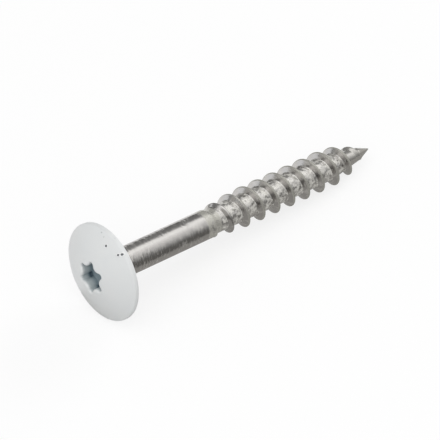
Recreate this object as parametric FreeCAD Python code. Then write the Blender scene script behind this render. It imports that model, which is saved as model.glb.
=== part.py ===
import FreeCAD, Part
import math
import os

from FreeCAD import Vector

# Facade screw with a low domed head, a six-lobe recess, a smooth shank and a coarse wood thread.
# All sizes are in mm. The screw is drawn along X with its seat, the flat underside of the head,
# at x = 0, the dome on the -X side and the point on the +X side. At the end it is laid down as
# it rests on a table, on the rim of the head and on one crest of the thread.

# Head
head_d = 12.0            # across the rim
rim_wall = 0.5           # straight side of the rim
dome_rise = 1.9          # dome above the rim wall
rim_edge_r = 0.15        # rounding where the dome meets the rim wall
seat_edge_r = 0.08       # rounding of the rim at the seat

# Six-lobe recess, size 20
lobe_d = 3.94            # across the lobes
waist_d = 2.86           # across the ribs between the lobes
lobe_r = 0.32            # rounding at the end of a lobe
recess_depth = 1.8       # from the top of the dome to the end of the straight walls
recess_cone = 0.45       # shallow cone below the straight walls
recess_edge_r = 0.16     # soft edge of the mouth
recess_turn = -6.0       # degrees, lobe nearest to straight down when the screw lies

# Shank
shank_d = 3.52           # smooth shank
shank_len = 15.2         # from the seat to the end of the smooth shank
neck_len = 0.75          # cone from the shank down to the root of the thread
seat_fillet_r = 0.35     # under the head

# Thread
thread_d = 4.64          # across the crests
root_d = 3.08            # across the roots
pitch = 2.33             # from crest to crest
flank_deg = 20.0         # each flank, measured from a plane across the screw
crest_w = 0.2            # flat of the crest
thread_turn = -36.5      # degrees, turns the thread about the screw
run_in = 2.6             # turns in which the crest rises from the shank to full height
run_out = 1.35           # turns in which the crest falls to nothing near the tip

# Point
tip_x = 40.7             # from the seat to the tip
point_len = 6.6          # from the tip back to where the root starts to taper
nose_len = 1.75          # last, steeper cone
bare_len = 1.35          # end of that cone, which has no ridge
nose_d = 1.52            # where the last cone starts
tip_r = 0.11             # blunting of the tip

# Construction
step = 0.02              # keeps faces apart that would else just touch
steps = 12               # points of a helix in a turn

head_r = head_d / 2
shank_r = shank_d / 2
thread_r = thread_d / 2
root_r = root_d / 2
nose_r = nose_d / 2
dome_top = -(rim_wall + dome_rise)
dome_ball_r = (head_r ** 2 + dome_rise ** 2) / (2 * dome_rise)
neck_end = shank_len + neck_len
point_start = tip_x - point_len
nose_start = tip_x - nose_len
bare_start = tip_x - bare_len


# Radius of the nose at a place along the screw
def nose_at(x):
    return nose_r + (tip_r - nose_r) * (x - nose_start) / (tip_x - tip_r - nose_start)


# Radius of the root at a place along the screw, between the shank and the bare nose
def root_at(x):
    if x < shank_len:
        return shank_r - step
    if x < neck_end:
        return shank_r - step + (root_r - shank_r + step) * (x - shank_len) / neck_len
    if x < point_start:
        return root_r
    if x < nose_start:
        return root_r + (nose_r - step - root_r) * (x - point_start) / (nose_start - point_start)
    return nose_at(min(x, bare_start)) - step


# Height of the crest above the root, with its rise behind the shank and its fall near the tip
full_h = thread_r - root_r


def crest_at(x):
    rise = (x - shank_len - crest_w / 2) / (run_in * pitch)
    fall = (bare_start - crest_w - x) / (run_out * pitch)
    if rise < 1:
        crest = shank_r - step + (thread_r - shank_r + step) * math.sin(math.pi / 2 * max(rise, 0))
    else:
        crest = root_at(x) + full_h
    if fall < 1:
        crest = root_at(x) + (crest - root_at(x)) * math.sin(math.pi / 2 * max(fall, 0)) ** 1.5
    return max(crest, root_at(x))


# Solid turned about the screw's axis from an outline
def turned(edges):
    face = Part.Face(Part.Wire([e.toShape() for e in edges]))
    return face.revolve(Vector(0, 0, 0), Vector(1, 0, 0), 360)


# Arc about a centre in the plane of the outline, from one angle to another
def round_arc(centre, radius, from_deg, to_deg):
    def on(deg):
        a = math.radians(deg)
        return centre + Vector(radius * math.cos(a), radius * math.sin(a), 0)
    return Part.Arc(on(from_deg), on((from_deg + to_deg) / 2), on(to_deg))


# Head with its fillet and the smooth shank
def head_and_shank():
    ball = Vector(dome_top + dome_ball_r, 0, 0)
    edge_y = head_r - rim_edge_r
    edge = Vector(ball.x - math.sqrt((dome_ball_r - rim_edge_r) ** 2 - edge_y ** 2), edge_y, 0)
    lean = math.degrees(math.atan2(edge.y, edge.x - ball.x))
    dome = round_arc(ball, dome_ball_r, 180, lean)
    rim = round_arc(edge, rim_edge_r, lean, 90)
    seat = round_arc(Vector(-seat_edge_r, head_r - seat_edge_r, 0), seat_edge_r, 90, 0)
    neck = round_arc(Vector(seat_fillet_r, shank_r + seat_fillet_r, 0), seat_fillet_r, 180, 270)
    end, end_in = Vector(shank_len, shank_r, 0), Vector(shank_len, 0, 0)
    return turned([
        dome,
        rim,
        Part.LineSegment(rim.EndPoint, seat.StartPoint),
        seat,
        Part.LineSegment(seat.EndPoint, neck.StartPoint),
        neck,
        Part.LineSegment(neck.EndPoint, end),
        Part.LineSegment(end, end_in),
        Part.LineSegment(end_in, dome.StartPoint),
    ])


# Last cone with its blunted tip
def nose():
    base_in = Vector(bare_start, 0, 0)
    base = Vector(bare_start, nose_at(bare_start), 0)
    side = Vector(tip_x - tip_r, tip_r, 0)
    k = math.sqrt(0.5)
    blunt = Vector(tip_x - tip_r * (1 - k), tip_r * k, 0)
    tip = Vector(tip_x, 0, 0)
    return turned([
        Part.LineSegment(base_in, base),
        Part.LineSegment(base, side),
        Part.Arc(side, blunt, tip),
        Part.LineSegment(tip, base_in),
    ])


# Recess: six lobes joined by six ribs, all tangent arcs
def lobe_face(x):
    c = math.cos(math.pi / 6)
    at = lobe_d / 2 - lobe_r
    rib_r = (lobe_r ** 2 - at ** 2 - waist_d ** 2 / 4 + at * c * waist_d) / (waist_d - 2 * at * c - 2 * lobe_r)
    far = waist_d / 2 + rib_r

    def spot(r, deg):
        a = math.radians(deg)
        return Vector(x, r * math.cos(a), r * math.sin(a))

    edges = []
    for k in range(6):
        a = recess_turn - 90 + 60 * k
        lobe, rib, back = spot(at, a), spot(far, a + 30), spot(far, a - 30)
        start = lobe + (back - lobe) * (lobe_r / (lobe_r + rib_r))
        end = lobe + (rib - lobe) * (lobe_r / (lobe_r + rib_r))
        after = spot(at, a + 60)
        next_start = after + (rib - after) * (lobe_r / (lobe_r + rib_r))
        edges.append(Part.Arc(start, spot(lobe_d / 2, a), end).toShape())
        edges.append(Part.Arc(end, spot(waist_d / 2, a + 30), next_start).toShape())
    return Part.Face(Part.Wire(edges))


def recess_tool():
    floor = dome_top + recess_depth
    walls = lobe_face(dome_top - 1).extrude(Vector(recess_depth + 1, 0, 0))
    cone = Part.makeCone(waist_d / 2 - step, 0, recess_cone, Vector(floor, 0, 0), Vector(1, 0, 0))
    return walls.fuse(cone)


# Softens the mouth of the recess where it meets the dome
def soften_mouth(body):
    mouth = []
    for e in body.Edges:
        if e.Degenerated:
            continue
        mid = e.valueAt((e.FirstParameter + e.LastParameter) / 2)
        r = math.hypot(mid.y, mid.z)
        ball = dome_top + dome_ball_r - math.sqrt(dome_ball_r ** 2 - r ** 2) if r < head_r else 0
        if waist_d / 2 - 0.05 < r < lobe_d / 2 + 0.05 and abs(mid.x - ball) < 0.01:
            mouth.append(e)
    return body.makeFillet(recess_edge_r, mouth)


# Threaded length: strips wound about X, right-handed, for both flanks, the crest and the root.
# It starts inside the shank and runs on past the nose, and is then cut square at both.
def threaded():
    lean = math.tan(math.radians(flank_deg))
    wide = crest_w / 2 + full_h * lean
    first = math.floor((shank_len - wide) / pitch) - 1
    turns = math.ceil((bare_start + wide) / pitch) + 1 - first
    total = turns * steps

    def spot(i, dx, at):
        x = pitch * (first + i / steps)
        a = math.radians(thread_turn) + 2 * math.pi * i / steps
        r = crest_at(x) if at == "crest" else root_at(x + dx)
        return Vector(x + dx, r * math.cos(a), r * math.sin(a))

    def curve(dx, at):
        c = Part.BSplineCurve()
        c.interpolate(Points=[spot(i, dx, at) for i in range(total + 1)],
                      Parameters=[float(i) for i in range(total + 1)])
        return c

    low = curve(-wide, "root")
    lines = [low, curve(-crest_w / 2, "crest"), curve(crest_w / 2, "crest"),
             curve(wide, "root"), curve(pitch / 2, "root")]

    def strip(c, d, t, lead=0):
        u, v = t * steps, (t + 1) * steps
        lead = lead * steps
        return Part.makeRuledSurface(c.toShape(u, v), d.toShape(u + lead, v + lead), 1)

    faces = []
    for t in range(turns):
        faces += [strip(lines[k], lines[k + 1], t) for k in range(3)]
        if t < turns - 1:
            faces += [strip(lines[3], lines[4], t), strip(lines[4], low, t, 1)]

    def end(edge, outline):
        a, b = edge.Vertexes[0].Point, edge.Vertexes[-1].Point
        axis = Part.makeLine(Vector(a.x, 0, 0), Vector(b.x, 0, 0))
        points = [Vector(a.x, 0, 0)] + outline + [Vector(b.x, 0, 0), Vector(a.x, 0, 0)]
        return [Part.makeRuledSurface(edge, axis, 1), Part.Face(Part.makePolygon(points))]

    at = [c.value(0) for c in lines] + [low.value(steps)]
    faces += end(low.toShape(0, steps), at)
    last, before = total, total - steps
    at = [lines[3].value(before), lines[4].value(before)] + [c.value(last) for c in lines[:4]]
    faces += end(lines[3].toShape(before, last), at)
    shell = Part.makeShell(faces)
    shell.sewShape()
    solid = Part.makeSolid(shell)
    if solid.Volume < 0:
        solid.reverse()
    span = Part.makeBox(bare_start - shank_len, head_d, head_d, Vector(shank_len, -head_r, -head_r))
    return solid.common(span)


# Angle at which the lying screw touches the table with its seat edge and with one crest
def rest_tilt():
    tilt = math.pi
    for k in range(math.ceil(bare_start / pitch) + 1):
        x = pitch * (k - (90 + thread_turn) / 360)
        if x > shank_len:
            for dx in (-crest_w / 2, crest_w / 2):
                tilt = min(tilt, math.atan2(head_r - crest_at(x), x + dx))
    return tilt


screw = head_and_shank().cut(recess_tool())
screw = soften_mouth(screw)
screw = screw.fuse([threaded(), nose()])
screw.rotate(Vector(0, 0, 0), Vector(0, 1, 0), math.degrees(rest_tilt()))
box = screw.optimalBoundingBox(True, False)
screw.translate(Vector(-(box.XMin + box.XMax) / 2, -(box.YMin + box.YMax) / 2, -box.ZMin))

os.makedirs("parts", exist_ok=True)
screw.exportStep("parts/facade_screw.step")
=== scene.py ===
import math

import bmesh
import bpy
from mathutils import Matrix, Vector


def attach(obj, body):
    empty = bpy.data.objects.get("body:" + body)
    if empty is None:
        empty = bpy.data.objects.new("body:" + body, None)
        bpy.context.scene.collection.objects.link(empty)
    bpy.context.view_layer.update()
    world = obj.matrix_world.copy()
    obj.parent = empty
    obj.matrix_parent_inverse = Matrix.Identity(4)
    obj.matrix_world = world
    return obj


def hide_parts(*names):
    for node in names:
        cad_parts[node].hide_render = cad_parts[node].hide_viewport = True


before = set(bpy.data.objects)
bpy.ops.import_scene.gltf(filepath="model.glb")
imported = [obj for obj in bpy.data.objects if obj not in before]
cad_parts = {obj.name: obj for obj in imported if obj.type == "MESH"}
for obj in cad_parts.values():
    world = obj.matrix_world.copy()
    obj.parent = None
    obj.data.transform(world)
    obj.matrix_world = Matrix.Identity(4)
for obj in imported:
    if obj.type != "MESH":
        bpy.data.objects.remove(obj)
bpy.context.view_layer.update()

# Facade screw: a painted head with a six-lobe recess on a stainless steel shank with a rolled
# wood thread. Both pieces are shaped in mm along X, with the seat at x = 0, the dome on the -X
# side and the point on the +X side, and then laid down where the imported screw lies.
rest_tilt = math.radians(6.188673)
seat_at = Vector((-19.013951, 0, 5.964971))
laid_down = Matrix.Scale(0.001, 4) @ Matrix.Translation(seat_at) @ Matrix.Rotation(rest_tilt, 4, "Y")

# Head
head_r = 6.0
rim_wall = 0.5
dome_rise = 1.9
rim_edge = 0.15
seat_edge = 0.08
dome_ball_r = (head_r ** 2 + dome_rise ** 2) / (2 * dome_rise)
dome_top = -(rim_wall + dome_rise)
head_steps = 288
dome_rings = 28
seat_rings = (5.6, 4.4, 3.2, 2.2)

# Six-lobe recess
lobe_out = 1.97
waist_out = 1.43
lobe_r = 0.32
recess_depth = 1.8
recess_cone = 0.45
recess_floor = dome_top + recess_depth
mouth_edge = 0.3
floor_edge = 0.08
recess_turn = -6.0
mouth_rings = 7
wall_rings = 8
floor_rings = 6

# Shank. Its end is let into the head by less than the metal that is left under the recess
shank_r = 1.76
shank_len = 15.2
neck_len = 0.75
seat_fillet = 0.35
end_in_head = 0.08
shank_rings = 4
fillet_rings = 8

# Thread
thread_r = 2.32
root_r = 1.54
full_h = thread_r - root_r
pitch = 2.33
flank_lean = math.radians(20)
flank_wide = full_h * math.tan(flank_lean)
crest_w = 0.2
root_corner = 0.05
crest_corner = 0.095
thread_turn = math.radians(-36.5)
run_in = 2.6
run_out = 1.35
turn_steps = 96
root_steps = 4
wound_from = shank_len - 0.6

# Point
tip_x = 40.7
point_start = 34.1
nose_start = 38.95
bare_start = 39.35
nose_r = 0.76
tip_r = 0.11
nose_rings = 6
tip_rings = 5


# Surface helpers

def linear(hex_colour):
    channels = [int(hex_colour[i:i + 2], 16) / 255 for i in (1, 3, 5)]
    return [c / 12.92 if c <= 0.04045 else ((c + 0.055) / 1.055) ** 2.4 for c in channels] + [1.0]


# Adds a node with its settings and its links: a node or a socket is linked, and any other value is
# set. A Mix node takes its share at 0, two numbers at 2 and 3, and two colours at 6 and 7
def add(tree, kind, inputs=None, **settings):
    node = tree.nodes.new(kind)
    for name, value in settings.items():
        setattr(node, name, value)
    for name, value in (inputs or {}).items():
        if isinstance(value, bpy.types.Node):
            value = value.outputs[0]
        if isinstance(value, bpy.types.NodeSocket):
            tree.links.new(value, node.inputs[name])
        else:
            node.inputs[name].default_value = value
    return node


def new_material(name):
    material = bpy.data.materials.new(name)
    material.use_nodes = True
    material.node_tree.nodes.clear()
    return material, material.node_tree


# Place on the screw in mm, with X along its axis and 0 at the seat
def screw_place(tree):
    back = Matrix.Rotation(-rest_tilt, 4, "Y")
    at = add(tree, "ShaderNodeTexCoord")
    return add(tree, "ShaderNodeMapping", {
        "Vector": at.outputs["Object"], "Location": back @ -seat_at,
        "Rotation": (0, -rest_tilt, 0), "Scale": (1000, 1000, 1000)})


# Distance of a place from the screw's axis
def axis_distance(tree, place):
    flat = add(tree, "ShaderNodeVectorMath", {0: place, 1: (0, 1, 1)}, operation="MULTIPLY")
    return add(tree, "ShaderNodeVectorMath", {0: flat}, operation="LENGTH").outputs["Value"]


# Stainless steel, cold headed and thread rolled: bright, with fine marks round the shank, and smooth
# on the flanks of the thread. The dies left the roots rough, and the pale dry film that eases the
# screw in lies there in patches, with dark specks. The film is thin and dull on the collar where the
# thread starts, on the worn crests and on the point. The marks, pits and specks of such a screw are
# under 0.1 mm and too fine for the picture, so they are drawn two to four times as coarse
def cold_formed_steel():
    marks_per_mm = (4.5, 1.2, 1.2)
    grain_per_mm = 1.8
    pits_per_mm = 6.0
    patches_per_mm = 1.9
    specks_per_mm = 2.3
    worn_spells_per_mm = 0.55

    material, tree = new_material("cold_formed_stainless_steel")
    place = screw_place(tree)
    radius = axis_distance(tree, place)
    along = add(tree, "ShaderNodeSeparateXYZ", {0: place})

    # Parts of the screw: the rolled thread, its roots and crests, the collar and the point
    rolled = add(tree, "ShaderNodeMapRange", {
        "Value": along, "From Min": shank_len - 0.9, "From Max": shank_len - 0.5},
        interpolation_type="SMOOTHSTEP")
    root_here = add(tree, "ShaderNodeMapRange", {
        "Value": along, "From Min": point_start, "From Max": nose_start, "To Min": root_r, "To Max": nose_r})
    above_root = add(tree, "ShaderNodeMath", {0: radius, 1: root_here}, operation="SUBTRACT")
    low = add(tree, "ShaderNodeMapRange", {
        "Value": above_root, "From Min": 0.09, "From Max": 0.02}, interpolation_type="SMOOTHSTEP")
    crest = add(tree, "ShaderNodeMapRange", {
        "Value": above_root, "From Min": full_h - 0.17, "From Max": full_h - 0.06})
    before_point = add(tree, "ShaderNodeMapRange", {
        "Value": along, "From Min": point_start + 3.4, "From Max": point_start + 1.4},
        interpolation_type="SMOOTHSTEP")
    at_point = add(tree, "ShaderNodeMath", {0: 1.0, 1: before_point}, operation="SUBTRACT")
    past_shank = add(tree, "ShaderNodeMapRange", {
        "Value": along, "From Min": shank_len - 1.05, "From Max": shank_len - 0.8},
        interpolation_type="SMOOTHSTEP")
    before_turns = add(tree, "ShaderNodeMapRange", {
        "Value": along, "From Min": shank_len + neck_len + 0.7, "From Max": shank_len + neck_len + 0.3},
        interpolation_type="SMOOTHSTEP")
    collar = add(tree, "ShaderNodeMath", {0: past_shank, 1: before_turns}, operation="MULTIPLY")
    off_collar = add(tree, "ShaderNodeMath", {0: 1.0, 1: collar}, operation="SUBTRACT")
    at_root = add(tree, "ShaderNodeMath", {0: rolled, 1: low}, operation="MULTIPLY")
    at_root = add(tree, "ShaderNodeMath", {0: at_root, 1: before_point}, operation="MULTIPLY")
    at_root = add(tree, "ShaderNodeMath", {0: at_root, 1: off_collar}, operation="MULTIPLY")
    dulled = add(tree, "ShaderNodeMath", {0: collar, 1: crest}, operation="MAXIMUM")
    dulled = add(tree, "ShaderNodeMath", {0: dulled, 1: at_point}, operation="MAXIMUM")

    # Patterns: marks round the screw, the grain, pits and specks of the roots, and patches of film
    across = add(tree, "ShaderNodeVectorMath", {0: place, 1: marks_per_mm}, operation="MULTIPLY")
    marks = add(tree, "ShaderNodeTexNoise", {
        "Vector": across, "Scale": 1.0, "Detail": 1.5, "Roughness": 0.5})
    grain = add(tree, "ShaderNodeTexNoise", {
        "Vector": place, "Scale": grain_per_mm, "Detail": 1.5, "Roughness": 0.5})
    pits = add(tree, "ShaderNodeTexNoise", {
        "Vector": place, "Scale": pits_per_mm, "Detail": 2.0, "Roughness": 0.6})
    patches = add(tree, "ShaderNodeTexNoise", {
        "Vector": place, "Scale": patches_per_mm, "Detail": 2.0, "Roughness": 0.55})
    speckle = add(tree, "ShaderNodeTexNoise", {
        "Vector": place, "Scale": specks_per_mm, "Detail": 1.0, "Roughness": 0.5})
    worn_spells = add(tree, "ShaderNodeTexNoise", {
        "Vector": place, "Scale": worn_spells_per_mm, "Detail": 1.0})

    # How much of the dry film covers the metal
    film = add(tree, "ShaderNodeMapRange", {
        "Value": patches, "From Min": 0.42, "From Max": 0.62, "To Min": 0.12, "To Max": 0.75})
    film = add(tree, "ShaderNodeMath", {0: film, 1: at_root}, operation="MULTIPLY")
    on_collar = add(tree, "ShaderNodeMapRange", {
        "Value": patches, "From Min": 0.34, "From Max": 0.46, "To Min": 0.25, "To Max": 0.55})
    on_collar = add(tree, "ShaderNodeMath", {0: on_collar, 1: collar}, operation="MULTIPLY")
    streaks = add(tree, "ShaderNodeMapRange", {
        "Value": marks, "From Min": 0.54, "From Max": 0.68, "To Max": 0.24})
    streaks = add(tree, "ShaderNodeMath", {0: streaks, 1: before_point}, operation="MULTIPLY")
    on_crest = add(tree, "ShaderNodeMath", {0: crest, 1: 0.65}, operation="MULTIPLY")
    on_point = add(tree, "ShaderNodeMath", {0: at_point, 1: 0.2}, operation="MULTIPLY")
    for more in (on_collar, streaks, on_crest, on_point):
        film = add(tree, "ShaderNodeMath", {0: film, 1: more}, operation="MAXIMUM")
    metallic = add(tree, "ShaderNodeMath", {0: 1.0, 1: film}, operation="SUBTRACT")

    # Heights in mm: marks that come and go on the smooth metal, and the grain and pits of the roots
    stroke = add(tree, "ShaderNodeMapRange", {"Value": rolled, "To Min": 0.12, "To Max": 0.02})
    spell = add(tree, "ShaderNodeMapRange", {
        "Value": worn_spells, "From Min": 0.42, "From Max": 0.68, "To Min": 0.12})
    stroke = add(tree, "ShaderNodeMath", {0: stroke, 1: spell}, operation="MULTIPLY")
    either_way = add(tree, "ShaderNodeMath", {0: marks, 1: 0.5}, operation="SUBTRACT")
    smooth_height = add(tree, "ShaderNodeMath", {0: either_way, 1: stroke}, operation="MULTIPLY")
    pit_height = add(tree, "ShaderNodeMath", {0: pits, 1: 0.02}, operation="MULTIPLY")
    rough_height = add(tree, "ShaderNodeMath", {0: grain, 1: 0.10, 2: pit_height}, operation="MULTIPLY_ADD")
    height = add(tree, "ShaderNodeMix", {0: at_root, 2: smooth_height, 3: rough_height})
    bump = add(tree, "ShaderNodeBump", {"Strength": 1.0, "Distance": 0.001, "Height": height})

    # Colours of the bare metal, the film and the specks
    bare = add(tree, "ShaderNodeMix", {0: marks, 6: linear("#bfbdba"), 7: linear("#cbc8c5")},
               data_type="RGBA")
    dry = add(tree, "ShaderNodeMix", {0: dulled, 6: linear("#efede5"), 7: linear("#bcbbae")},
              data_type="RGBA")
    dry = add(tree, "ShaderNodeMix", {0: crest, 6: dry.outputs[2], 7: linear("#929185")},
              data_type="RGBA")
    colour = add(tree, "ShaderNodeMix", {0: film, 6: bare.outputs[2], 7: dry.outputs[2]},
                 data_type="RGBA")
    specks = add(tree, "ShaderNodeMapRange", {
        "Value": speckle, "From Min": 0.6, "From Max": 0.68, "To Max": 0.6})
    specks = add(tree, "ShaderNodeMath", {0: specks, 1: at_root}, operation="MULTIPLY")
    colour = add(tree, "ShaderNodeMix", {0: specks, 6: colour.outputs[2], 7: linear("#6a6862")},
                 data_type="RGBA")

    bare_rough = add(tree, "ShaderNodeMapRange", {
        "Value": marks, "From Min": 0.3, "From Max": 0.7, "To Min": 0.14, "To Max": 0.24})
    soft = add(tree, "ShaderNodeMath", {0: at_root, 1: dulled}, operation="MAXIMUM")
    roughness = add(tree, "ShaderNodeMix", {0: soft, 2: bare_rough, 3: 0.24})
    surface = add(tree, "ShaderNodeBsdfPrincipled", {
        "Base Color": colour.outputs[2], "Metallic": metallic, "Roughness": roughness, "Normal": bump})
    add(tree, "ShaderNodeOutputMaterial", {"Surface": surface})
    return material


# Places of the chips and the nicks in the paint, in mm across and up the head, each with its radius
paint_chips = [
    (-1.013, 4.818, 0.14),
    (-2.862, 4.576, 0.12),
    (-3.251, 4.787, 0.15),
]
paint_nicks = [
    (0.386, 5.656, 0.10),
    (-1.468, 5.887, 0.08),
    (-0.20, 5.45, 0.07),
]


# Mask of spots on the head: 1 in a spot and 0 away from it, with a ragged edge
def spots(tree, place, ragged, places):
    flat = add(tree, "ShaderNodeVectorMath", {0: place, 1: (0, 1, 1)}, operation="MULTIPLY")
    total = None
    for y, z, size in places:
        far = add(tree, "ShaderNodeVectorMath", {0: flat, 1: (0, y, z)}, operation="DISTANCE")
        far = add(tree, "ShaderNodeMath", {0: far.outputs["Value"], 1: ragged}, operation="ADD")
        spot = add(tree, "ShaderNodeMapRange", {
            "Value": far, "From Min": size * 1.1, "From Max": size * 0.75},
            interpolation_type="SMOOTHSTEP")
        total = spot if total is None else add(
            tree, "ShaderNodeMath", {0: total, 1: spot}, operation="MAXIMUM")
    return total


# Powder-coat paint baked on the head: satin and pale grey, with a faint orange peel. Down in the
# recess it went on thin and bluish, and it is also painted darker with depth as painted shade, darkest
# in the corners of the floor, which is painted shade. By the rim it is nicked in three places, and
# chipped through to dark metal in three more, each with a raised lip that is painted paler as a highlight
def baked_paint():
    peel_per_mm = 1.6
    clouds_per_mm = 0.35
    chip_teeth_per_mm = 9.0

    material, tree = new_material("baked_powder_coat_paint")
    place = screw_place(tree)
    radius = axis_distance(tree, place)
    along = add(tree, "ShaderNodeSeparateXYZ", {0: place})
    peel = add(tree, "ShaderNodeTexNoise", {"Vector": place, "Scale": peel_per_mm, "Detail": 2.0})
    cloud = add(tree, "ShaderNodeTexNoise", {"Vector": place, "Scale": clouds_per_mm, "Detail": 2.0})
    teeth = add(tree, "ShaderNodeTexNoise", {"Vector": place, "Scale": chip_teeth_per_mm, "Detail": 2.0})

    # Chips, nicks and raised lips, the lips painted paler as a highlight, on the dome and not on the seat
    ragged = add(tree, "ShaderNodeMath", {0: teeth, 1: 0.12, 2: -0.06}, operation="MULTIPLY_ADD")
    nicks = spots(tree, place, ragged, paint_nicks)
    nicks = add(tree, "ShaderNodeMath", {0: nicks, 1: 0.35}, operation="MULTIPLY")
    chips = spots(tree, place, ragged, paint_chips)
    chips = add(tree, "ShaderNodeMath", {0: chips, 1: nicks}, operation="MAXIMUM")
    lips_and_highlight = spots(tree, place, ragged, [(y, z, size * 2) for y, z, size in paint_chips])
    on_dome = add(tree, "ShaderNodeMapRange", {"Value": along, "From Min": -0.2, "From Max": -0.25})
    chips = add(tree, "ShaderNodeMath", {0: chips, 1: on_dome}, operation="MULTIPLY")
    lips_and_highlight = add(tree, "ShaderNodeMath", {0: lips_and_highlight, 1: on_dome}, operation="MULTIPLY")

    # Depths in the recess: its wall and its lowest part, painted darker as thin bluish paint and as painted
    # shade, and the corners of its floor, painted darkest as painted shade
    inside = add(tree, "ShaderNodeMapRange", {
        "Value": radius, "From Min": lobe_out + 0.08, "From Max": lobe_out + 0.03})
    down = add(tree, "ShaderNodeMapRange", {
        "Value": along, "From Min": dome_top + 0.1, "From Max": dome_top + 0.8},
        interpolation_type="SMOOTHSTEP")
    wall_paint_and_shade = add(tree, "ShaderNodeMath", {0: inside, 1: down}, operation="MULTIPLY")
    lowest = add(tree, "ShaderNodeMapRange", {
        "Value": along, "From Min": dome_top + 0.9, "From Max": dome_top + 1.7},
        interpolation_type="SMOOTHSTEP")
    deep_paint_and_shade = add(tree, "ShaderNodeMath", {0: inside, 1: lowest}, operation="MULTIPLY")
    far_out = add(tree, "ShaderNodeMapRange", {
        "Value": radius, "From Min": 1.6, "From Max": 1.9}, interpolation_type="SMOOTHSTEP")
    far_down = add(tree, "ShaderNodeMapRange", {
        "Value": along, "From Min": dome_top + 1.15, "From Max": dome_top + 1.6},
        interpolation_type="SMOOTHSTEP")
    corner_painted_shade = add(tree, "ShaderNodeMath", {0: far_out, 1: far_down}, operation="MULTIPLY")
    corner_painted_shade = add(tree, "ShaderNodeMath", {0: corner_painted_shade, 1: inside}, operation="MULTIPLY")

    # Each colour covers the ones before it: the thin paint and painted shade of the wall and the lowest
    # part, the painted shade of the corners, the painted highlight of the lips, and the bare metal of the
    # chips
    colour = add(tree, "ShaderNodeMix", {0: cloud, 6: linear("#e1e4e5"), 7: linear("#e8e9e8")},
                 data_type="RGBA")
    for mask, shade in ((wall_paint_and_shade, "#b9c1c3"), (deep_paint_and_shade, "#909fa6"), (corner_painted_shade, "#52646f"),
                        (lips_and_highlight, "#f0f1f1"), (chips, "#65696c")):
        colour = add(tree, "ShaderNodeMix", {0: mask, 6: colour.outputs[2], 7: linear(shade)},
                     data_type="RGBA")

    # Heights in mm
    height = add(tree, "ShaderNodeMath", {0: peel, 1: 0.006}, operation="MULTIPLY")
    height = add(tree, "ShaderNodeMath", {0: lips_and_highlight, 1: 0.03, 2: height}, operation="MULTIPLY_ADD")
    height = add(tree, "ShaderNodeMath", {0: chips, 1: -0.08, 2: height}, operation="MULTIPLY_ADD")
    bump = add(tree, "ShaderNodeBump", {"Strength": 1.0, "Distance": 0.001, "Height": height})
    roughness = add(tree, "ShaderNodeMapRange", {
        "Value": peel, "From Min": 0.3, "From Max": 0.7, "To Min": 0.34, "To Max": 0.42})
    surface = add(tree, "ShaderNodeBsdfPrincipled", {
        "Base Color": colour.outputs[2], "Roughness": roughness, "Normal": bump})
    add(tree, "ShaderNodeOutputMaterial", {"Surface": surface})
    return material


# Mesh helpers

def verts_of(items):
    return [i for i in items if isinstance(i, bmesh.types.BMVert)]


def edges_of(items):
    return [i for i in items if isinstance(i, bmesh.types.BMEdge)]


def everything(bm):
    return list(bm.verts) + list(bm.edges) + list(bm.faces)


# Moves a point to another radius about the screw's axis, and to another place along it
def set_round(v, x, r):
    a = math.atan2(v.co.z, v.co.y)
    v.co = (x, r * math.cos(a), r * math.sin(a))


# Next ring of faces: the loop of edges is extruded, and at() gives each new point's x and radius
def next_ring(bm, loop, at):
    made = bmesh.ops.extrude_edge_only(bm, edges=loop)["geom"]
    for v in verts_of(made):
        x, r = at(math.atan2(v.co.z, v.co.y))
        set_round(v, x, r)
    return edges_of(made)


def close_ring(bm, loop, x):
    made = bmesh.ops.extrude_edge_only(bm, edges=loop)["geom"]
    bmesh.ops.pointmerge(bm, verts=verts_of(made), merge_co=(x, 0, 0))


def new_object(bm, name, material):
    mesh = bpy.data.meshes.new(name)
    bm.to_mesh(mesh)
    bm.free()
    mesh.materials.append(material)
    piece = bpy.data.objects.new(name, mesh)
    bpy.context.scene.collection.objects.link(piece)
    return piece


def finish_piece(bm, name, material):
    bmesh.ops.remove_doubles(bm, verts=bm.verts, dist=0.0005)
    bmesh.ops.recalc_face_normals(bm, faces=bm.faces)
    for face in bm.faces:
        face.smooth = True
    bmesh.ops.transform(bm, matrix=laid_down, verts=bm.verts)
    piece = new_object(bm, name, material)
    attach(piece, "root")
    return piece


# Radius of the root and of the crest along the screw

def root_at(x):
    if x < shank_len:
        return shank_r
    if x < shank_len + neck_len:
        return shank_r + (root_r - shank_r) * (x - shank_len) / neck_len
    if x < point_start:
        return root_r
    if x < nose_start:
        return root_r + (nose_r - root_r) * (x - point_start) / (nose_start - point_start)
    return nose_r + (tip_r - nose_r) * (min(x, tip_x) - nose_start) / (tip_x - tip_r - nose_start)


def crest_at(x):
    rise = min(max((x - shank_len - crest_w / 2) / (run_in * pitch), 0), 1)
    fall = min(max((bare_start - crest_w - x) / (run_out * pitch), 0), 1)
    crest = root_at(x) + full_h
    if rise < 1:
        crest = shank_r + (thread_r - shank_r) * math.sin(math.pi / 2 * rise)
    return max(root_at(x) + (crest - root_at(x)) * math.sin(math.pi / 2 * fall) ** 1.5, root_at(x))


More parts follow.
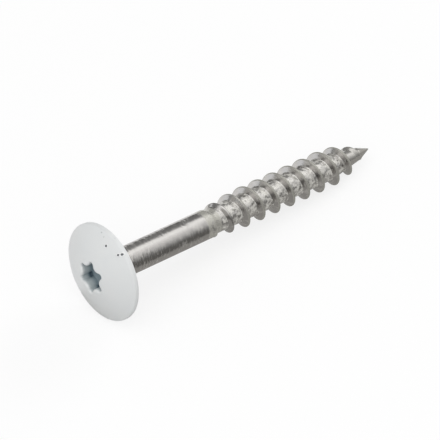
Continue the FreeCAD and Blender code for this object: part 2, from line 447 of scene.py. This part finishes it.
# Even thread: one pitch of its outline, with round corners, is wound once about the axis, and that
# turn is set down again and again
def wind_thread(bm):
    half = crest_w / 2
    foot = half + flank_wide
    outline = [(foot + (pitch / 2 - foot) * k / root_steps, root_r) for k in range(root_steps, -1, -1)]
    outline.append((half, thread_r))
    outline = [(-x, r) for x, r in outline] + outline[::-1]
    corners = [bm.verts.new((x, r, 0)) for x, r in outline]
    for pair in zip(corners, corners[1:]):
        bm.edges.new(pair)
    for place, size in ((foot, root_corner), (half, crest_corner)):
        turns_at = [v for v in bm.verts if abs(abs(v.co.x) - place) < 1e-5]
        bmesh.ops.bevel(bm, geom=turns_at, offset=size, segments=3, profile=0.5,
                        affect="VERTICES", material=-1)
    first = math.floor(shank_len / pitch) - 1
    turns = math.ceil(bare_start / pitch) + 1 - first
    bmesh.ops.translate(bm, vec=(first * pitch, 0, 0), verts=bm.verts)
    bmesh.ops.rotate(bm, cent=(0, 0, 0), matrix=Matrix.Rotation(thread_turn, 3, "X"), verts=bm.verts)
    bmesh.ops.spin(bm, geom=list(bm.verts) + list(bm.edges), cent=(0, 0, 0), axis=(1, 0, 0),
                   dvec=(pitch / turn_steps, 0, 0), angle=2 * math.pi, steps=turn_steps)
    one_turn = everything(bm)
    for k in range(1, turns):
        more = bmesh.ops.duplicate(bm, geom=one_turn)["geom"]
        bmesh.ops.translate(bm, vec=(pitch * k, 0, 0), verts=verts_of(more))
    bmesh.ops.remove_doubles(bm, verts=bm.verts, dist=0.0005)


# Each point keeps its share of the height between root and crest, where its own turn crests
def give_rise_and_fall(bm):
    for v in bm.verts:
        r = math.hypot(v.co.y, v.co.z)
        lead = (math.atan2(v.co.z, v.co.y) - thread_turn) / (2 * math.pi)
        crest_x = pitch * (lead + round(v.co.x / pitch - lead))
        share = (r - root_r) / full_h
        set_round(v, v.co.x, root_at(v.co.x) + share * (crest_at(crest_x) - root_at(v.co.x)))


# Cuts the screw square across and gives the cut's loop of edges. Outward is the side that goes
def cut_square(bm, x, outward):
    cut = bmesh.ops.bisect_plane(bm, geom=everything(bm), plane_co=(x, 0, 0),
                                 plane_no=(outward, 0, 0), clear_outer=True)
    return edges_of(cut["geom_cut"])


# Shank, thread and point: the thread is wound, cut square at both ends, and drawn out to the fillet
# under the head and to the tip
def screw_body():
    bm = bmesh.new()
    wind_thread(bm)
    give_rise_and_fall(bm)

    loop = cut_square(bm, wound_from, -1)
    for k in range(1, shank_rings + 1):
        near = wound_from + (seat_fillet - wound_from) * k / shank_rings
        loop = next_ring(bm, loop, lambda a: (near, shank_r))
    for k in range(1, fillet_rings + 1):
        lean = math.radians(90 * k / fillet_rings)
        loop = next_ring(bm, loop, lambda a: (seat_fillet * (1 - math.sin(lean)),
                                              shank_r + seat_fillet * (1 - math.cos(lean))))
    loop = next_ring(bm, loop, lambda a: (-end_in_head, shank_r + seat_fillet))
    close_ring(bm, loop, -end_in_head)

    loop = cut_square(bm, bare_start, 1)
    for k in range(1, nose_rings + 1):
        near = bare_start + (tip_x - tip_r - bare_start) * k / nose_rings
        loop = next_ring(bm, loop, lambda a: (near, root_at(near)))
    for k in range(1, tip_rings):
        lean = math.radians(90 * k / tip_rings)
        loop = next_ring(bm, loop, lambda a: (tip_x - tip_r + tip_r * math.sin(lean),
                                              tip_r * math.cos(lean)))
    close_ring(bm, loop, tip_x)
    return bm


# Radius of the recess at an angle about the axis: six round lobes and six round ribs, all tangent.
# Grown, it is the same outline with each of its points moved outwards by as much
def recess_radius(angle, grown=0.0):
    at = lobe_out - lobe_r
    slope = math.cos(math.pi / 6)
    rib_r = (lobe_r ** 2 - at ** 2 - waist_out ** 2 + 2 * at * slope * waist_out) / (
        2 * waist_out - 2 * at * slope - 2 * lobe_r)
    far = waist_out + rib_r
    touch = (lobe_r + grown) / (lobe_r + rib_r)
    touch_at = math.atan2(far * 0.5 * touch, at + (far * slope - at) * touch)
    step = math.radians(60)
    off = angle - math.radians(recess_turn - 90)
    off = abs(off - step * round(off / step))
    if off < touch_at:
        return at * math.cos(off) + math.sqrt((lobe_r + grown) ** 2 - (at * math.sin(off)) ** 2)
    back = step / 2 - off
    return far * math.cos(back) - math.sqrt((rib_r - grown) ** 2 - (far * math.sin(back)) ** 2)


def dome_x(r):
    return dome_top + dome_ball_r - math.sqrt(dome_ball_r ** 2 - r ** 2)


# Painted head: rings run from the soft mouth of the recess over the dome to the rim and the seat,
# and from the mouth down the walls to the floor. The rim, the seat and the floor are then rounded
def screw_head():
    bm = bmesh.new()
    bmesh.ops.create_circle(bm, segments=head_steps, radius=1,
                            matrix=Matrix.Rotation(math.radians(90), 4, "Y"))
    for v in bm.verts:
        r = recess_radius(math.atan2(v.co.z, v.co.y))
        set_round(v, dome_x(r) + mouth_edge, r)
    mouth = loop = list(bm.edges)

    for k in range(1, mouth_rings + 1):
        lean = math.radians(90 * k / mouth_rings)
        grown = mouth_edge * (1 - math.cos(lean))

        def over_mouth(a):
            r = recess_radius(a, grown)
            return dome_x(r) + mouth_edge * (1 - math.sin(lean)), r
        loop = next_ring(bm, loop, over_mouth)
    for k in range(1, dome_rings + 1):
        share = k / dome_rings
        round_off = min(1, share * 3)

        def on_dome(a):
            lobe = recess_radius(a, mouth_edge)
            even = lobe + (lobe_out + mouth_edge - lobe) * round_off
            r = even + (head_r - even) * share
            return dome_x(r), r
        loop = next_ring(bm, loop, on_dome)
    rim = loop
    loop = next_ring(bm, rim, lambda a: (-rim_wall / 2, head_r))
    seat = loop = next_ring(bm, loop, lambda a: (0, head_r))
    for r in seat_rings:
        loop = next_ring(bm, loop, lambda a: (0, r))
    close_ring(bm, loop, 0)

    loop = mouth
    for k in range(1, wall_rings + 1):
        def down_wall(a):
            r = recess_radius(a)
            top = dome_x(r) + mouth_edge
            return top + (recess_floor - top) * k / wall_rings, r
        loop = next_ring(bm, loop, down_wall)
    corner = loop
    for k in range(1, floor_rings):
        left = 1 - k / floor_rings
        loop = next_ring(bm, loop, lambda a: (recess_floor + recess_cone * (1 - left),
                                              recess_radius(a) * left))
    close_ring(bm, loop, recess_floor + recess_cone)

    for edges, size, parts in ((rim, rim_edge, 4), (seat, seat_edge, 3), (corner, floor_edge, 3)):
        bmesh.ops.bevel(bm, geom=edges, offset=size, segments=parts, profile=0.5,
                        affect="EDGES", material=-1, offset_type="OFFSET")
    return bm


body = finish_piece(screw_body(), "screw_body", cold_formed_steel())
finish_piece(screw_head(), "screw_head", baked_paint())
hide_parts("facade_screw")


# 1 for the camera's rays and for those that metal mirrors or glass lets through, and 0 for the light
# that bounces
def seen_directly(tree):
    seen = add(tree, "ShaderNodeLightPath").outputs
    mirrored = add(tree, "ShaderNodeMath", {0: seen["Is Glossy Ray"], 1: seen["Is Transmission Ray"]},
                   operation="MAXIMUM")
    return add(tree, "ShaderNodeMath", {0: seen["Is Camera Ray"], 1: mirrored}, operation="MAXIMUM")


def stage_piece(bm, name, material):
    piece = new_object(bm, name, material)
    return piece


# Floor: a plain white board. What the camera and the metal see of it is a darker grey lifted to
# white, which keeps the screw's shadow faint, and the light that bounces off it is the pale grey's
floor_half = 3
floor_lift = 0.76
board, tree = new_material("white_paper_board")
seen = seen_directly(tree)
grey = add(tree, "ShaderNodeMix", {0: seen, 6: linear("#dedede"), 7: linear("#888888")}, data_type="RGBA")
paper = add(tree, "ShaderNodeBsdfDiffuse", {"Color": grey.outputs[2]})
strength = add(tree, "ShaderNodeMath", {0: seen, 1: floor_lift}, operation="MULTIPLY")
lift = add(tree, "ShaderNodeEmission", {"Color": (1, 1, 1, 1), "Strength": strength})
surface = add(tree, "ShaderNodeAddShader", {0: paper, 1: lift})
add(tree, "ShaderNodeOutputMaterial", {"Surface": surface})
bm = bmesh.new()
bmesh.ops.create_grid(bm, x_segments=1, y_segments=1, size=floor_half)
stage_piece(bm, "floor", board)

# Tent of grey paper round the set, as a photographer shades bright metal. Only reflections see it:
# it glows overhead and falls off to the front and the back. Each glow stands with its angle in
# degrees, from the back over the top to the front
tent_r = 0.30
tent_steps = 48
tent_from, tent_to = -0.45, 0.75
tent_glow = [(0, 0.18), (52, 0.27), (62, 0.40), (73, 1.25), (90, 1.38), (106, 1.17), (118, 1.0),
             (130, 0.84), (142, 0.68), (154, 0.47), (166, 0.30), (180, 0.17)]
tent_full = 1.4
tent_end_glow = 0.5


def only_in_reflections(piece):
    piece.visible_camera = piece.visible_diffuse = piece.visible_shadow = False
    piece.visible_transmission = piece.visible_volume_scatter = False


def glowing(name, strength, colour="#fffdf9"):
    material, tree = new_material(name)
    glow = add(tree, "ShaderNodeEmission", {"Color": linear(colour), "Strength": strength})
    add(tree, "ShaderNodeOutputMaterial", {"Surface": glow})
    return material


shaded, tree = new_material("shaded_tent_paper")
place = add(tree, "ShaderNodeTexCoord").outputs["Object"]
at = add(tree, "ShaderNodeSeparateXYZ", {0: place}).outputs
angle = add(tree, "ShaderNodeMath", {0: at["Z"], 1: at["Y"]}, operation="ARCTAN2")
share = add(tree, "ShaderNodeMath", {0: angle, 1: math.pi}, operation="DIVIDE")
shades = add(tree, "ShaderNodeValToRGB", {"Fac": share})
stops = shades.color_ramp.elements
for degrees, glow in tent_glow[1:-1]:
    stops.new(degrees / 180)
for stop, (degrees, glow) in zip(stops, tent_glow):
    stop.position = degrees / 180
    stop.color = (glow / tent_full, glow / tent_full, glow / tent_full, 1)
glow = add(tree, "ShaderNodeEmission", {"Color": shades, "Strength": tent_full})
add(tree, "ShaderNodeOutputMaterial", {"Surface": glow})
bm = bmesh.new()
bm.edges.new([bm.verts.new((x, tent_r, 0)) for x in (tent_from, tent_to)])
bmesh.ops.spin(bm, geom=list(bm.verts) + list(bm.edges), cent=(0, 0, 0), axis=(1, 0, 0),
               angle=math.pi, steps=tent_steps)
only_in_reflections(stage_piece(bm, "tent", shaded))

for name, x in (("tent_end_behind_head", tent_from), ("tent_end_behind_point", tent_to)):
    bm = bmesh.new()
    bmesh.ops.create_grid(bm, x_segments=1, y_segments=1, size=tent_r, matrix=Matrix.Translation(
        (x, 0, tent_r)) @ Matrix.Rotation(math.radians(90), 4, "Y"))
    only_in_reflections(stage_piece(bm, name, glowing(name, tent_end_glow)))

# Dark cards flat on the floor that glow, seen only in reflections: in front of the screw as painted shade,
# and beneath it as the screw's painted shadow
front_of_screw, back_of_screw = -0.008, 0.004
off_floor = 0.00005
for name, low, high, strength in (("card_in_front", -tent_r, front_of_screw, 0.16),
                                  ("painted_shadow_beneath", front_of_screw, back_of_screw, 0.36)):
    bm = bmesh.new()
    bmesh.ops.create_grid(bm, x_segments=1, y_segments=1, size=0.5, matrix=Matrix.Translation(
        ((tent_from + tent_to) / 2, (low + high) / 2, off_floor)) @ Matrix.Diagonal(
        (tent_to - tent_from, high - low, 1, 1)))
    only_in_reflections(stage_piece(bm, name, glowing(name, strength)))

# White card standing behind the head's end of the set, which the upper flanks of the thread mirror. It glows
# as a painted reflection
card_at = (-0.28, 0.27, 0.11)
card_wide, card_high = 0.34, 0.22
bm = bmesh.new()
bmesh.ops.create_grid(bm, x_segments=1, y_segments=1, size=0.5, matrix=Matrix.Translation(
    card_at) @ Matrix.Rotation(math.radians(90), 4, "X") @ Matrix.Diagonal(
    (card_wide, card_high, 1, 1)))
only_in_reflections(stage_piece(bm, "card_behind", glowing("card_behind", 1.0, "#fafcff")))

# Light: a surround that lights the screw at half strength and is white where it is seen
surround_light = 0.5
world = bpy.data.worlds.new("surround")
bpy.context.scene.world = world
world.use_nodes = True
tree = world.node_tree
tree.nodes.clear()
strength = add(tree, "ShaderNodeMath", {
    0: seen_directly(tree), 1: 1 - surround_light, 2: surround_light}, operation="MULTIPLY_ADD")
sky = add(tree, "ShaderNodeBackground", {"Color": (1, 1, 1, 1), "Strength": strength})
add(tree, "ShaderNodeOutputWorld", {"Surface": sky})

# A large soft lamp over the head's end, and a small one that fills in from the point's end
for name, place, size, energy in (("soft_lamp", (-0.35, -0.25, 0.6), 0.9, 3.3),
                                  ("fill_lamp", (0.45, 0.05, 0.2), 0.3, 0.7)):
    lamp_data = bpy.data.lights.new(name, "AREA")
    lamp_data.size = size
    lamp_data.energy = energy
    lamp = bpy.data.objects.new(name, lamp_data)
    lamp.location = place
    lamp.rotation_euler = (-lamp.location).to_track_quat("-Z", "Y").to_euler()
    lamp.visible_glossy = False
    bpy.context.scene.collection.objects.link(lamp)

# Camera, at the place that the rim's ellipse and the crests of the thread give in the photograph.
# The focal length and the side of the photograph are in its pixels
photo_focal = 5000
photo_side = 440
camera_at = (-0.284312, -0.329222, 0.391016)
line_of_sight = Vector((0.485886, 0.566071, -0.665942))
camera_data = bpy.data.cameras.new("camera")
camera_data.sensor_width = 36
camera_data.lens = camera_data.sensor_width * photo_focal / photo_side
camera_data.clip_start, camera_data.clip_end = 0.05, 20
camera = bpy.data.objects.new("camera", camera_data)
camera.location = camera_at
camera.rotation_euler = line_of_sight.to_track_quat("-Z", "Y").to_euler()
bpy.context.scene.collection.objects.link(camera)
bpy.context.scene.camera = camera
bpy.context.scene.view_settings.view_transform = "Standard"
